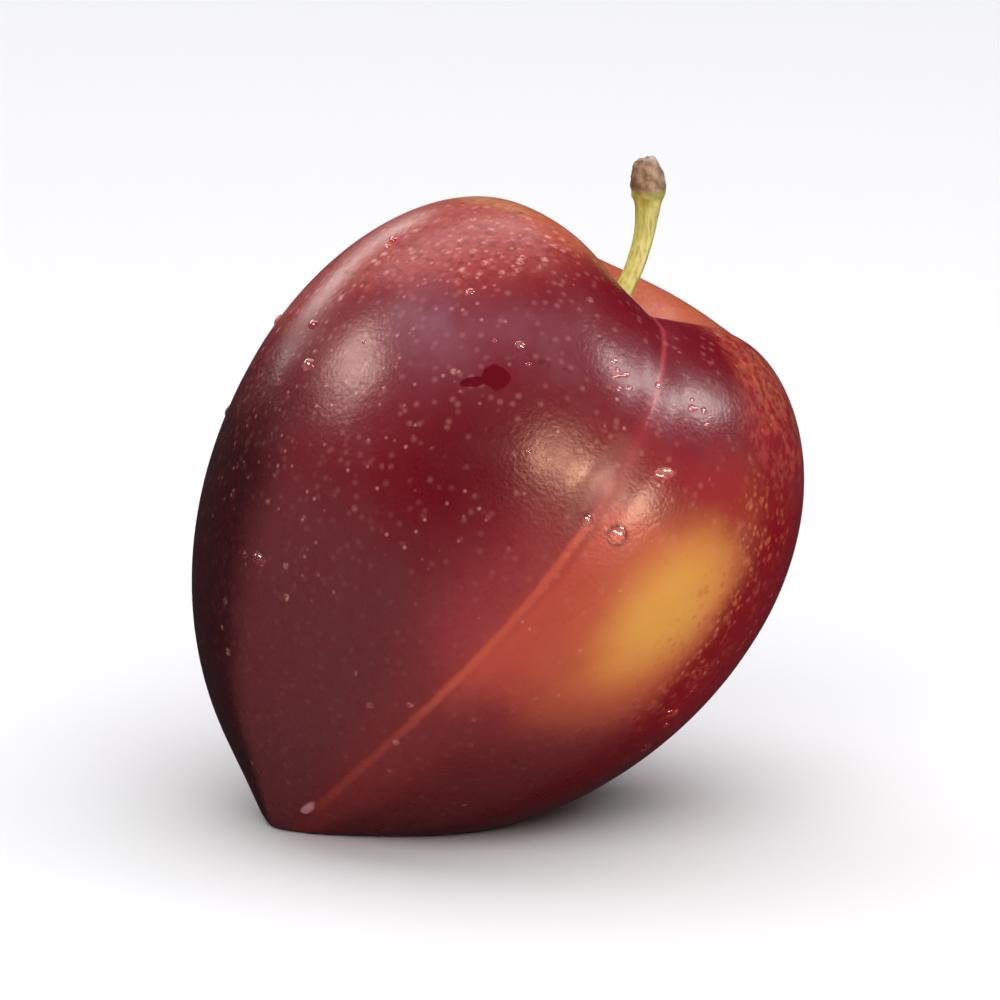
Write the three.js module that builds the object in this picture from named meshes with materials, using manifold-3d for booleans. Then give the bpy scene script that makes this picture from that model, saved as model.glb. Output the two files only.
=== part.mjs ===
// A small heart-shaped plum with its stalk, as picked, lying tip down on its side.
//
// Units are millimetres and +Z is up. The fruit rests on a small flat spot in the plane Z = 0,
// and the origin is the centre of that spot. The fruit grew as one piece, so it is one solid.
// The stalk is a second solid, and its foot stands in a small pit at the bottom of the hollow.

import * as THREE from 'three';
import { mergeVertices } from 'three/addons/utils/BufferGeometryUtils.js';
import Module from 'manifold-3d';

const wasm = await Module();
wasm.setup();

// ---------- the fruit: +Z runs from its tip to its stalk, and the seam faces -Y ----------

const CHEEK_RADIUS = 24; // half the width from cheek to cheek
const SEAM_TO_BACK = 0.99; // the depth from seam to back, as a share of that width
const TIP_LENGTH = 32.4; // from the widest level down to the tip
const SHOULDER_HEIGHT = 23; // from the widest level up to the shoulders
const TIP_TAPER = 1.19; // over 1 draws the lower half in towards a point
const SHOULDER_TAPER = 0.71; // under 1 fills the shoulders out

const NUB_LENGTH = 2; // the drawn-out end of the tip
const NUB_RADIUS = 4.5;
const TIP_TO_CHEEK = -0.9; // the tip sits off the middle, towards one cheek
const TIP_TO_BACK = 2.9; // and towards the back
const WIDEST_RISE = 0.8; // the widest level is this much higher on one cheek
const SHOULDER_RISE = 0.7; // and the other cheek has the higher shoulder

const HOLLOW_DEPTH = 7; // the hollow round the stalk
const HOLLOW_RADIUS = 7.4;
const NOTCH_DEPTH = 3.4; // the rim dips where the seam runs over it
const NOTCH_ANGLE = 0.6; // in radians round the fruit
const BACK_RISE = 1.6; // the rim stands higher at the back
const BACK_RISE_AT = 2.54; // where it is highest, in radians from the seam
const BACK_RISE_ANGLE = 0.8;
const RIM_FADE = 1.5; // over 1 keeps both changes near the rim

const SEAM_DEPTH = 0.3; // the fine groove from the hollow to the tip
const SEAM_HALF_WIDTH = 1;
const SEAM_SWING = -0.1; // how far the seam leaves a straight meridian, in radians
const SEAM_SECOND_SWING = -0.05;
const SEAM_FADE_RADIUS = 3.5; // the groove dies out this near to the axis

// ---------- how it lies ----------

const LEAN_RIGHT = 29.8; // degrees, the stalk end towards +X
const LEAN_BACK = 18; // degrees, the stalk end towards +Y
const ROLL = 16.4; // degrees round its own axis
const FLAT_DEPTH = 2.2; // how much of the round is pressed flat under it
const FLAT_EDGE = 0.2; // the rounding round the flat spot

// ---------- the stalk, which bends upright out of the hollow ----------

const STALK_SINK = 1.6; // how far its foot goes down into the pit
const PIT_GAP = 0.3; // between the foot and the pit, at the side and below
const STALK_REACH = new THREE.Vector3(3.4, 3.4, 13.7); // from the pit's mouth to the stalk's end
const STALK_FIRST_PULL = new THREE.Vector3(3.2, 1.9, 3.6); // it leaves the pit towards here
const STALK_LAST_PULL = new THREE.Vector3(4.4, 3, 9); // and reaches its end from here
const FOOT_RADIUS = 0.95;
const STALK_RADIUS = 0.86;
const NECK_RADIUS = 1.15; // below the knob
const KNOB_RADIUS = 1.5; // the swollen end that was joined to the twig
const KNOB_LENGTH = 3.2;
const SCAR_RADIUS = 0.8; // the dished scar on the knob's end
const SCAR_DEPTH = 0.3;
const COLLAR_LENGTH = 0.7; // over which the neck widens into the knob
const KNOB_ROUNDING = 1.6; // and over which the knob rounds in to the scar

// ---------- fineness ----------

const SKIN_COLUMNS = 84; // round the fruit
const SKIN_ROWS = 46; // from the tip to the hollow
const COLUMN_CROWDING = 0.55; // columns stand closer at the seam
const ROW_CROWDING = 0.45; // rows stand closer at the tip and the hollow
const STALK_SIDES = 20;
const STALK_STEPS = 34;
const PIT_SIDES = 24;
const MERGE_DISTANCE = 1e-4; // vertices this near to each other are one

// ---------- small helpers ----------

const { PI, sin, cos } = Math;

/** A smooth hump: 1 at distance 0, fading out past `width`. */
const hump = (distance, width) => Math.exp(-((distance / width) ** 2));

/** The same angle, between -PI and PI. */
const wrap = (angle) => Math.atan2(sin(angle), cos(angle));

/** `value`, but never under `floor`, and rounded over `edge` on either side of it. */
function pressed(value, floor, edge) {
  const share = THREE.MathUtils.clamp(0.5 + (value - floor) / (2 * edge), 0, 1);
  return THREE.MathUtils.lerp(floor, value, share) + edge * share * (1 - share);
}

/** A manifold solid from a closed geometry. */
function toSolid(geometry) {
  const bare = geometry.clone();
  bare.deleteAttribute('normal');
  bare.deleteAttribute('uv');
  const merged = mergeVertices(bare, MERGE_DISTANCE);
  const corners = merged.index.array;
  const kept = [];
  for (let i = 0; i < corners.length; i += 3) {
    const [a, b, c] = corners.slice(i, i + 3);
    if (a !== b && b !== c && c !== a) kept.push(a, b, c);
  }
  const mesh = new wasm.Mesh({
    numProp: 3,
    vertProperties: new Float32Array(merged.attributes.position.array),
    triVerts: new Uint32Array(kept),
  });
  return new wasm.Manifold(mesh);
}

/** A geometry from a manifold solid. */
function toGeometry(solid) {
  const { vertProperties, triVerts } = solid.getMesh();
  const geometry = new THREE.BufferGeometry();
  geometry.setAttribute('position', new THREE.BufferAttribute(vertProperties, 3));
  geometry.setIndex(new THREE.BufferAttribute(triVerts, 1));
  geometry.computeVertexNormals();
  return geometry;
}

/** Moves every vertex of a geometry to where `place` puts it. */
function reshape(geometry, place) {
  const position = geometry.attributes.position;
  const point = new THREE.Vector3();
  for (let i = 0; i < position.count; i += 1) {
    place(point.fromBufferAttribute(position, i));
    position.setXYZ(i, point.x, point.y, point.z);
  }
  return geometry;
}

// ---------- the fruit's skin ----------

/** Where the seam runs: its angle round the fruit at a level. */
const seamAngle = (level) => SEAM_SWING * cos(level) + SEAM_SECOND_SWING * cos(2 * level);

/**
 * A point of the skin, in the fruit's own frame.
 * `level` runs from 0 at the tip to PI in the hollow, and `angle` is 0 at -Y and grows towards +X.
 */
function skinPoint(level, angle) {
  const out = sin(level);
  const up = -cos(level);
  const below = up < 0;
  const above = Math.max(up, 0);

  let radius = CHEEK_RADIUS * out ** (below ? TIP_TAPER : SHOULDER_TAPER);
  let height = up * (below ? TIP_LENGTH : SHOULDER_HEIGHT);

  const rim = above ** RIM_FADE * Math.min(radius / (CHEEK_RADIUS / 2), 1);
  height -= rim * NOTCH_DEPTH * hump(wrap(angle), NOTCH_ANGLE);
  height += rim * BACK_RISE * hump(wrap(angle - BACK_RISE_AT), BACK_RISE_ANGLE);
  if (below) height -= NUB_LENGTH * hump(radius, NUB_RADIUS);
  else height -= HOLLOW_DEPTH * hump(radius, HOLLOW_RADIUS);

  const fromSeam = wrap(angle - seamAngle(level)) * radius;
  const groove = SEAM_DEPTH * hump(fromSeam, SEAM_HALF_WIDTH) * (1 - hump(radius, SEAM_FADE_RADIUS));
  radius -= groove * out;
  height -= groove * up;

  const across = radius * sin(angle);
  const tipShare = below ? up * up : 0;
  height += (across / CHEEK_RADIUS) * (WIDEST_RISE * out * out - SHOULDER_RISE * above);
  return new THREE.Vector3(
    across + TIP_TO_CHEEK * tipShare,
    -radius * cos(angle) * SEAM_TO_BACK + TIP_TO_BACK * tipShare,
    height,
  );
}

/** How the fruit's own frame is turned to lie. */
function lyingTurn() {
  const { degToRad } = THREE.MathUtils;
  const leaning = new THREE.Matrix4().makeRotationX(-degToRad(LEAN_BACK));
  leaning.multiply(new THREE.Matrix4().makeRotationY(degToRad(LEAN_RIGHT)));
  return leaning.multiply(new THREE.Matrix4().makeRotationZ(degToRad(ROLL)));
}

/** A ball whose vertices are moved to the skin. */
function skinGeometry() {
  const ball = new THREE.SphereGeometry(1, SKIN_COLUMNS, SKIN_ROWS);
  ball.rotateX(PI / 2);
  return reshape(ball, (point) => {
    const evenLevel = Math.acos(-point.z);
    const evenAngle = Math.atan2(point.x, -point.y);
    const level = evenLevel - (ROW_CROWDING / 2) * sin(2 * evenLevel);
    const angle = seamAngle(level) + evenAngle - COLUMN_CROWDING * sin(evenAngle);
    point.copy(skinPoint(level, angle));
  });
}

/** The middle of the flat spot of a geometry whose lowest points lie at `floor`. */
function flatMiddle(geometry, floor) {
  const spot = new THREE.Box3();
  const position = geometry.attributes.position;
  for (let i = 0; i < position.count; i += 1) {
    const point = new THREE.Vector3().fromBufferAttribute(position, i);
    if (point.z < floor + MERGE_DISTANCE) spot.expandByPoint(point);
  }
  return spot.getCenter(new THREE.Vector3());
}

/** The skin as it lies on Z = 0, with the mouth of the stalk's pit. */
function lyingSkin() {
  const skin = skinGeometry();
  const turn = lyingTurn();
  skin.applyMatrix4(turn);
  skin.computeBoundingBox();
  const floor = skin.boundingBox.min.z + FLAT_DEPTH;
  reshape(skin, (point) => point.setZ(pressed(point.z, floor, FLAT_EDGE)));
  const middle = flatMiddle(skin, floor);
  skin.translate(-middle.x, -middle.y, -floor);
  const pitMouth = skinPoint(PI, 0).applyMatrix4(turn);
  pitMouth.sub(new THREE.Vector3(middle.x, middle.y, floor));
  return { skin, pitMouth };
}

// ---------- the stalk ----------

/** The stalk's middle line, from its foot in the pit to its end. */
function stalkLine(pitMouth) {
  const foot = STALK_FIRST_PULL.clone().normalize().multiplyScalar(-STALK_SINK);
  const points = [foot, STALK_FIRST_PULL, STALK_LAST_PULL, STALK_REACH];
  return new THREE.CubicBezierCurve3(...points.map((point) => point.clone().add(pitMouth)));
}

/** The stalk's radius at a distance from its foot: it thins, widens to the neck, then swells. */
function stalkRadius(distance, length) {
  const { smoothstep, lerp } = THREE.MathUtils;
  const knobStart = length - KNOB_LENGTH;
  const shaft = lerp(FOOT_RADIUS, STALK_RADIUS, smoothstep(distance, 0, length / 3));
  const neck = lerp(shaft, NECK_RADIUS, smoothstep(distance, length / 2, knobStart));
  const knob = lerp(neck, KNOB_RADIUS, smoothstep(distance, knobStart - COLLAR_LENGTH, knobStart));
  const roundedIn = smoothstep(distance, length - KNOB_ROUNDING, length) ** 2;
  return lerp(knob, SCAR_RADIUS, roundedIn);
}

/** A turned profile, bent along the stalk's line. */
function stalkGeometry(line) {
  const length = line.getLength();
  const profile = [new THREE.Vector2(0, 0)];
  for (let step = 0; step <= STALK_STEPS; step += 1) {
    const distance = (length * step) / STALK_STEPS;
    profile.push(new THREE.Vector2(stalkRadius(distance, length), distance));
  }
  profile.push(new THREE.Vector2(0, length - SCAR_DEPTH));
  const turned = new THREE.LatheGeometry(profile, STALK_SIDES);
  return reshape(turned, (point) => {
    const share = THREE.MathUtils.clamp(point.y / length, 0, 1);
    const along = line.getTangentAt(share);
    const side = new THREE.Vector3(0, -1, 0).projectOnPlane(along).normalize();
    const other = new THREE.Vector3().crossVectors(along, side);
    const middle = line.getPointAt(share);
    middle.addScaledVector(side, point.z).addScaledVector(other, point.x);
    point.copy(middle);
  });
}

/** The pit that the stalk's foot stands in, as a solid to cut away. */
function pitSolid(pitMouth) {
  const depth = STALK_SINK + PIT_GAP;
  const radius = FOOT_RADIUS + PIT_GAP;
  const pit = new THREE.CylinderGeometry(radius, radius, 2 * depth, PIT_SIDES);
  const along = STALK_FIRST_PULL.clone().normalize();
  pit.applyQuaternion(new THREE.Quaternion().setFromUnitVectors(new THREE.Vector3(0, 1, 0), along));
  pit.translate(pitMouth.x, pitMouth.y, pitMouth.z);
  return toSolid(pit);
}

// ---------- the whole ----------

function makeFruit(skin, pitMouth) {
  const geometry = toGeometry(toSolid(skin).subtract(pitSolid(pitMouth)));
  const material = new THREE.MeshStandardMaterial({ color: 0x6e1a22, roughness: 0.3, metalness: 0 });
  const fruit = new THREE.Mesh(geometry, material);
  fruit.name = 'fruit';
  return fruit;
}

function makeStalk(pitMouth) {
  const geometry = toGeometry(toSolid(stalkGeometry(stalkLine(pitMouth))));
  const material = new THREE.MeshStandardMaterial({ color: 0xa8a83c, roughness: 0.6, metalness: 0 });
  const stalk = new THREE.Mesh(geometry, material);
  stalk.name = 'stalk';
  return stalk;
}

const { skin, pitMouth } = lyingSkin();
const plum = new THREE.Group();
plum.add(makeFruit(skin, pitMouth), makeStalk(pitMouth));

export default plum;
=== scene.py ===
# %% [markdown]
# # A small heart-shaped plum, as picked
#
# This lesson dresses a finished model of a plum: the fruit with its hollow, seam and tip, and the short
# stalk that bends upright out of the hollow. The solids are the frame. They say where everything is, and
# they stay as they are. Around them we make a fine skin, a corky stalk and a few drops of water, then a
# finish for each, a floor and the light.
#
# Everything is in metres, in the frame of the solids: the fruit rests on a small flat spot at the origin,
# +Z is up, and we look along +Y. Small sizes are written in millimetres and multiplied by MM.

import math
import random

import bmesh
import bpy
from mathutils import Matrix, Vector


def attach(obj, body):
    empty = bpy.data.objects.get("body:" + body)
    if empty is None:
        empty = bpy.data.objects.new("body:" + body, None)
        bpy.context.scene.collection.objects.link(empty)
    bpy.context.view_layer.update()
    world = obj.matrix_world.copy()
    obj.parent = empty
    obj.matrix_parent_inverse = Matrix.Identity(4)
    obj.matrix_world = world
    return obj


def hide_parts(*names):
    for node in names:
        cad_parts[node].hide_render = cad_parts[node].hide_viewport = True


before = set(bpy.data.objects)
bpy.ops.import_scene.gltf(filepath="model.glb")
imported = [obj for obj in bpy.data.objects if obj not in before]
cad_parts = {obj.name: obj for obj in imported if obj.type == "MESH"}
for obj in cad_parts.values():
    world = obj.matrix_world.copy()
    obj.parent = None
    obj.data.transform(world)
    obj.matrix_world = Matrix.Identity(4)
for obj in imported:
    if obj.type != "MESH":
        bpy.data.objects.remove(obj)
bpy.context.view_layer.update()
MM = 0.001
print("solids:", sorted(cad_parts))

# %% [markdown]
# ## How the plum lies
#
# A plum grows round an axis, from the tip to the hollow where the stalk goes in. It is easiest to think of
# its skin in its own frame: +Z towards the stalk, and the seam on the side of -Y. The plum then leans to
# the right and back, and is rolled a little. With that one turn we can place every mark of the skin in the
# fruit's own frame, where a plum grower would point at it, and let the computer find where it lies.

# %% The turn from the fruit's own frame to the table
LEAN_RIGHT, LEAN_BACK, ROLL = 29.8, 18, 16.4  # degrees
CORE = Vector((8.93, 1.86, 26.88)) * MM  # the middle of the widest level
PIT = Vector((16.88, 6.15, 40.08)) * MM  # the bottom of the hollow, where the stalk's pit opens
CHEEK = 24  # mm from the axis to the skin at the widest level
TIP_LENGTH, SHOULDER_HEIGHT = 32.4, 23.0  # mm below and above the widest level
SEAM_SWING, SEAM_SECOND_SWING = -0.1, -0.05  # how far the seam leaves a straight meridian, in radians

turn = (
    Matrix.Rotation(math.radians(-LEAN_BACK), 3, "X")
    @ Matrix.Rotation(math.radians(LEAN_RIGHT), 3, "Y")
    @ Matrix.Rotation(math.radians(ROLL), 3, "Z")
)
AXIS = turn @ Vector((0, 0, 1))


def seam_angle(level):
    """Where the seam runs, in radians round the axis, at a level from 1 at the tip to -1 at the shoulders."""
    return level * SEAM_SWING + (level * level * 2 - 1) * SEAM_SECOND_SWING


print("the axis points", [round(c, 2) for c in AXIS])

# %% [markdown]
# ## The camera
#
# A plum is small, so a long lens from about a metre away gives the flat, calm view that a product shot has.
# It looks down by 14 degrees, and it aims a little above the middle, because the stalk stands out of the
# top.

# %% Camera
AIM = Vector((8.28, 1.29, 26.4)) * MM
CAMERA_DISTANCE, CAMERA_RISE = 0.9, math.radians(14)
LENS_LENGTH, SENSOR_WIDTH = 390, 36  # mm
NEAREST = 0.01  # metres: nothing closer than this is seen

lens = bpy.data.cameras.new("camera")
lens.lens = LENS_LENGTH
lens.sensor_width = SENSOR_WIDTH
lens.clip_start = NEAREST
camera = bpy.data.objects.new("camera", lens)
bpy.context.scene.collection.objects.link(camera)
camera.location = AIM + CAMERA_DISTANCE * Vector((0, -math.cos(CAMERA_RISE), math.sin(CAMERA_RISE)))
camera.rotation_euler = (math.pi / 2 - CAMERA_RISE, 0, 0)
bpy.context.scene.camera = camera
print("frame width at the plum:", round(SENSOR_WIDTH / LENS_LENGTH * CAMERA_DISTANCE / MM), "mm")

# %% [markdown]
# ## Small helpers
#
# Operators act on what is selected, and the solids are selected when they are loaded. So each step first
# takes one piece `alone`. `pick` then selects parts of its mesh by a rule, `modify` adds a modifier and
# applies it, and `count` says how many triangles a piece has.

# %% Helpers for modelling
print("selected after loading:", [piece.name for piece in bpy.context.selected_objects])


def alone(piece):
    """Makes a piece the only selected one, in object mode."""
    if bpy.context.object and bpy.context.object.mode != "OBJECT":
        bpy.ops.object.mode_set(mode="OBJECT")
    bpy.ops.object.select_all(action="DESELECT")
    piece.select_set(True)
    bpy.context.view_layer.objects.active = piece


def pick(piece, rule):
    """Opens a piece in edit mode and selects the vertices that pass a rule; says how many."""
    alone(piece)
    bpy.ops.object.mode_set(mode="EDIT")
    bpy.ops.mesh.select_mode(type="VERT")
    bpy.ops.mesh.select_all(action="DESELECT")
    mesh = bmesh.from_edit_mesh(piece.data)
    chosen = [vertex for vertex in mesh.verts if rule(vertex)]
    for vertex in chosen:
        vertex.select = True
    mesh.select_flush_mode()
    bmesh.update_edit_mesh(piece.data)
    return len(chosen)


def modify(piece, kind, **settings):
    """Adds a modifier with these settings and applies it."""
    alone(piece)
    bpy.ops.object.modifier_add(type=kind)
    modifier = piece.modifiers[-1]
    for name, value in settings.items():
        setattr(modifier, name, value)
    bpy.ops.object.modifier_apply(modifier=modifier.name)


def count(piece):
    """A piece's name and number of triangles, to print."""
    return f"{piece.name}: {sum(len(face.vertices) - 2 for face in piece.data.polygons)} triangles"


# %% [markdown]
# ## A smooth form under the skin
#
# The solid fruit is made of flat triangles, each nearly 2 mm wide. The skin of a plum is smooth and taut,
# and a wide soft highlight shows every flat. We could only shade it smooth, but its outline would still
# have corners. Instead we make a smooth form of the same size, which the skin can be laid on. It starts as
# a copy of the solid's mesh, whose loose triangles are joined where their corners meet.

# %% The form: the solid's mesh, joined
WELD = 0.002  # mm: corners closer than this are one

form = bpy.data.objects.new("form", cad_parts["fruit"].data.copy())
bpy.context.scene.collection.objects.link(form)
alone(form)
bpy.ops.object.mode_set(mode="EDIT")
bpy.ops.mesh.select_all(action="SELECT")
bpy.ops.mesh.remove_doubles(threshold=WELD * MM)
bpy.ops.object.mode_set(mode="OBJECT")
print(count(form))

# %% [markdown]
# The solid has a plain pit that the stalk's foot stands in. On a real plum the skin grows up to the stalk,
# so the form has no pit: its vertices are deleted, a face closes the hole, and poking that face sinks a
# point in its middle, a little below the rim.

# %% The form: the pit closed
FOOT_PULL = Vector((3.2, 1.9, 3.6))  # mm: which way the stalk's foot leaves the pit's mouth, and how strongly
PIT_WIDTH, PIT_DEPTH = 1.6, 4  # mm: a vertex this near the pit's middle line and its mouth belongs to the pit
PLUG_SINK = 0.3  # mm


def in_pit(vertex):
    """Whether a vertex is in the pit."""
    middle_line = FOOT_PULL.normalized()
    away = vertex.co - PIT
    off_line = (away - middle_line * away.dot(middle_line)).length
    return off_line < PIT_WIDTH * MM and away.length < PIT_DEPTH * MM


print("vertices in the pit:", pick(form, in_pit))
bpy.ops.mesh.delete(type="VERT")
bpy.ops.mesh.select_mode(type="EDGE")
bpy.ops.mesh.select_non_manifold(extend=False)
bpy.ops.mesh.edge_face_add()
bpy.ops.mesh.poke(offset=-PLUG_SINK * MM)

# %% [markdown]
# Subdividing triangles gives a lumpy surface, and subdividing quads a fair one. So the triangles are paired
# into quads first, at any angle, and then subdivided twice.

# %% The form: quads, subdivided
bpy.ops.mesh.select_all(action="SELECT")
bpy.ops.mesh.tris_convert_to_quads(face_threshold=math.pi, shape_threshold=math.pi)
bpy.ops.object.mode_set(mode="OBJECT")
modify(form, "SUBSURF", levels=2, render_levels=2)
print(count(form))

# %% [markdown]
# ## The skin
#
# A ball made of meridians has two poles where the quads pinch, and a plum's poles, the hollow and the tip,
# are just where we look. So we start from a cube, subdivide it and cast it to a ball: six patches of even
# quads and no pole. Every finished piece keeps its object at the origin, so `lay` moves the mesh and not
# the object.

# %% The skin, as a ball round the fruit
PATCH_QUADS = 120  # along one edge of a patch
BALL_RADIUS = 45  # mm, so that it clears the fruit all round
BALL_DROP = 2  # mm below the widest level, because the tip is further from there than the hollow


def lay(piece, place):
    """Moves a piece's mesh by a matrix and leaves its object at the origin."""
    piece.data.transform(place)
    piece.matrix_world = Matrix.Identity(4)


bpy.ops.object.select_all(action="DESELECT")
bpy.ops.mesh.primitive_cube_add(size=2 * BALL_RADIUS * MM, location=(0, 0, 0))
skin = bpy.context.object
skin.name = skin.data.name = "skin"
bpy.ops.object.mode_set(mode="EDIT")
bpy.ops.mesh.subdivide(number_cuts=PATCH_QUADS // 3 - 1)
bpy.ops.mesh.subdivide(number_cuts=2)
bpy.ops.object.mode_set(mode="OBJECT")
modify(skin, "CAST", cast_type="SPHERE", factor=1)
lay(skin, Matrix.Translation(CORE - BALL_DROP * MM * AXIS) @ turn.to_4x4())
print(count(skin))

# %% [markdown]
# Shrinkwrap lays the ball on the form. Its nearest-point way would gather the quads on the shoulders and
# leave the hollow thin, so each vertex is projected straight inwards, against its own normal, and the
# hollow, the seam and the tip come through.

# %% The skin, laid on the form
modify(
    skin,
    "SHRINKWRAP",
    target=form,
    wrap_method="PROJECT",
    use_negative_direction=True,
    use_positive_direction=False,
)
print("box in mm:", [round(c / MM, 2) for c in skin.dimensions])

# %% [markdown]
# The seam's groove is sharp where the solid's facets meet in it, but on a ripe plum it is nearly flush from
# the lobes down to the widest level. A Smooth modifier levels it there. A vertex group limits the modifier
# to a band along the seam, and its weights fade out at the sides and both ends, so that no edge of the band
# shows.

# %% The seam, shallow above the widest level
BAND = 1.5  # mm to each side of the seam, and as much again to fade out
BAND_START, BAND_END, BAND_FADE = -5, 12, 3  # mm along the fruit's axis


def weight(piece, name, rule):
    """A vertex group whose weight at each vertex comes from a rule; gives back its name."""
    group = piece.vertex_groups.new(name=name)
    for vertex in piece.data.vertices:
        group.add([vertex.index], max(0.0, min(1.0, rule(vertex.co))), "REPLACE")
    return name


def beside_seam(co):
    """1 along the seam from just below the widest level up to the lobes, and 0 further off."""
    own = turn.transposed() @ (co - CORE) / MM
    if own.y >= 0 or not BAND_START < own.z < BAND_END:
        return 0
    level = -own.z / (TIP_LENGTH if own.z < 0 else SHOULDER_HEIGHT)
    off_line = abs(math.sin(math.atan2(own.x, -own.y) - seam_angle(level))) * math.hypot(own.x, own.y)
    ends = min(1, (own.z - BAND_START) / BAND_FADE) * min(1, (BAND_END - own.z) / BAND_FADE)
    return min(1, 2 - off_line / BAND) * ends


shallow = weight(skin, "shallow seam", beside_seam)
modify(skin, "SMOOTH", factor=0.5, iterations=24, vertex_group=shallow)
print("smoothed", sum(beside_seam(vertex.co) > 0 for vertex in skin.data.vertices), "vertices")
skin.vertex_groups.clear()

# %% [markdown]
# At the tip of a plum a small dry scar marks where the flower stood. The few vertices there are pulled out
# by hand, with proportional editing, so that the skin round them follows softly.

# %% The scar at the tip
SCAR_PLACE = Vector((-2.2, -3.1, -30.9))  # mm from the core, in the fruit's own frame
SCAR_REACH = Vector((0.35, 0.7, 2))  # mm, half its size each way
SCAR_PULL = Vector((0, -0.1, -0.22))  # mm
SCAR_SKIRT = 0.6  # mm of skin round it that follows

scar_at = CORE + turn @ SCAR_PLACE * MM


def on_scar(vertex):
    """Whether a vertex is on the scar."""
    away = turn.transposed() @ (vertex.co - scar_at)
    return all(abs(off) < reach * MM for off, reach in zip(away, SCAR_REACH))


print("scar of", pick(skin, on_scar), "vertices")
bpy.ops.transform.translate(
    value=turn @ SCAR_PULL * MM,
    use_proportional_edit=True,
    proportional_edit_falloff="SMOOTH",
    proportional_size=SCAR_SKIRT * MM,
)
bpy.ops.object.mode_set(mode="OBJECT")
bpy.ops.object.shade_smooth()

# %% [markdown]
# ## The stalk
#
# The stalk of a plum is a thin green stem, a little ridged as it dries, that ends in a wide corky knob
# where it broke off the twig. We could extrude it ring by ring along its way. It is easier to shape it
# straight, as on a lathe, and then let a Curve modifier bend it: the profile and the bend stay apart, and
# each is simple to change.

# %% The stalk, straight
PROFILE = [  # how far along, in mm, and the radius there
    (0, 0.95),  # the foot
    (1.6, 0.93),
    (3.5, 0.84),
    (6, 0.8),  # the thinnest place
    (8.8, 0.84),
    (10.8, 1.0),
    (11.8, 1.16),  # the knob's shoulder
    (12.15, 1.32),
    (12.5, 1.44),
    (13.1, 1.46),
    (13.8, 1.4),
    (14.4, 1.24),
    (14.9, 1.02),
    (15.2, 0.8),  # the broken end
]
STALK_LENGTH = PROFILE[-1][0]
SIDES = 24
DISH = 0.3  # mm: the broken end is hollowed this deep, inside a rim this wide

bpy.ops.object.select_all(action="DESELECT")
bpy.ops.mesh.primitive_circle_add(
    vertices=SIDES,
    radius=PROFILE[0][1] * MM,
    fill_type="NGON",
    location=(0, 0, 0),
)
stalk = bpy.context.object
stalk.name = stalk.data.name = "stem"
bpy.ops.object.mode_set(mode="EDIT")
bpy.ops.mesh.select_all(action="SELECT")
for (below, old), (above, new) in zip(PROFILE, PROFILE[1:]):
    bpy.ops.mesh.extrude_region_move(TRANSFORM_OT_translate={"value": (0, 0, (above - below) * MM)})
    bpy.ops.transform.resize(value=(new / old, new / old, 1), center_override=(0, 0, above * MM))
bpy.ops.mesh.inset(thickness=DISH * MM)
bpy.ops.transform.translate(value=(0, 0, -DISH * MM))
bpy.ops.mesh.select_all(action="SELECT")
bpy.ops.mesh.normals_make_consistent(inside=False)
bpy.ops.object.mode_set(mode="OBJECT")
modify(stalk, "SUBSURF", levels=2, render_levels=2)
print(count(stalk), "length", round(stalk.dimensions.z / MM, 1), "mm")

# %% [markdown]
# The green part has long shallow ridges, and the knob a rough crumbly grain. Both are cloud textures that
# push the surface in and out, each limited to its part by a vertex group. An empty gives a texture its
# scale: one that is long in Z draws the clouds out into ridges. The empties go once the modifiers are
# applied.

# %% The stalk's ridges and cork
KNOB_START, KNOB_FADE = 11.2, 1.2  # mm along the stalk
RIDGE_LENGTH, RIDGE_WIDTH, CORK_GRAIN = 14, 1, 1.3  # mm
RIDGE_HEIGHT, CORK_HEIGHT = 0.3, 0.55  # mm, from the lowest to the highest


def ruler(name, width, length):
    """An empty whose axes set how large a texture's features are, in mm."""
    made = bpy.data.objects.new(name, None)
    bpy.context.scene.collection.objects.link(made)
    made.scale = (width * MM, width * MM, length * MM)
    return made


ridges = bpy.data.textures.new("ridges", "CLOUDS")
ridges.noise_scale = 0.5
cork = bpy.data.textures.new("cork", "CLOUDS")
cork.noise_scale = 0.6
cork.noise_depth = 3
knob = weight(stalk, "knob", lambda co: (co.z / MM - KNOB_START) / KNOB_FADE)
shaft = weight(stalk, "shaft", lambda co: 1 - (co.z / MM - KNOB_START) / KNOB_FADE)
stretched = ruler("stretched", RIDGE_WIDTH, RIDGE_LENGTH)
grain = ruler("grain", CORK_GRAIN, CORK_GRAIN)
bpy.context.view_layer.update()
reliefs = ((ridges, stretched, RIDGE_HEIGHT, shaft), (cork, grain, CORK_HEIGHT, knob))
for texture, scale, height, where in reliefs:
    modify(
        stalk,
        "DISPLACE",
        texture=texture,
        texture_coords="OBJECT",
        texture_coords_object=scale,
        strength=height * MM,
        mid_level=0.5,
        vertex_group=where,
    )
    bpy.data.objects.remove(scale)
print("knob now", [round(c / MM, 1) for c in stalk.dimensions[:2]], "mm wide")

# %% [markdown]
# The stalk leaves the hollow along the fruit's axis and turns upright as it grows. The curve's two handles
# give just that: the first points out of the hollow and the last comes from below the knob. A new curve's
# handles are in line with each other, and setting one would turn its partner, so they are freed first. The
# straight stalk is scaled to the curve's length before it is bent, so that its end is the curve's end.

# %% The stalk, bent
FOOT_SINK = 1.6  # mm of the stalk that is below the pit's mouth
KNOB_END = Vector((3.4, 3.4, 13.7))  # mm from the pit's mouth to the stalk's end
KNOB_PULL = Vector((4.4, 3, 9))  # mm from the pit's mouth to the handle that the end comes from
WAY_STEPS = 40

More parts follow.
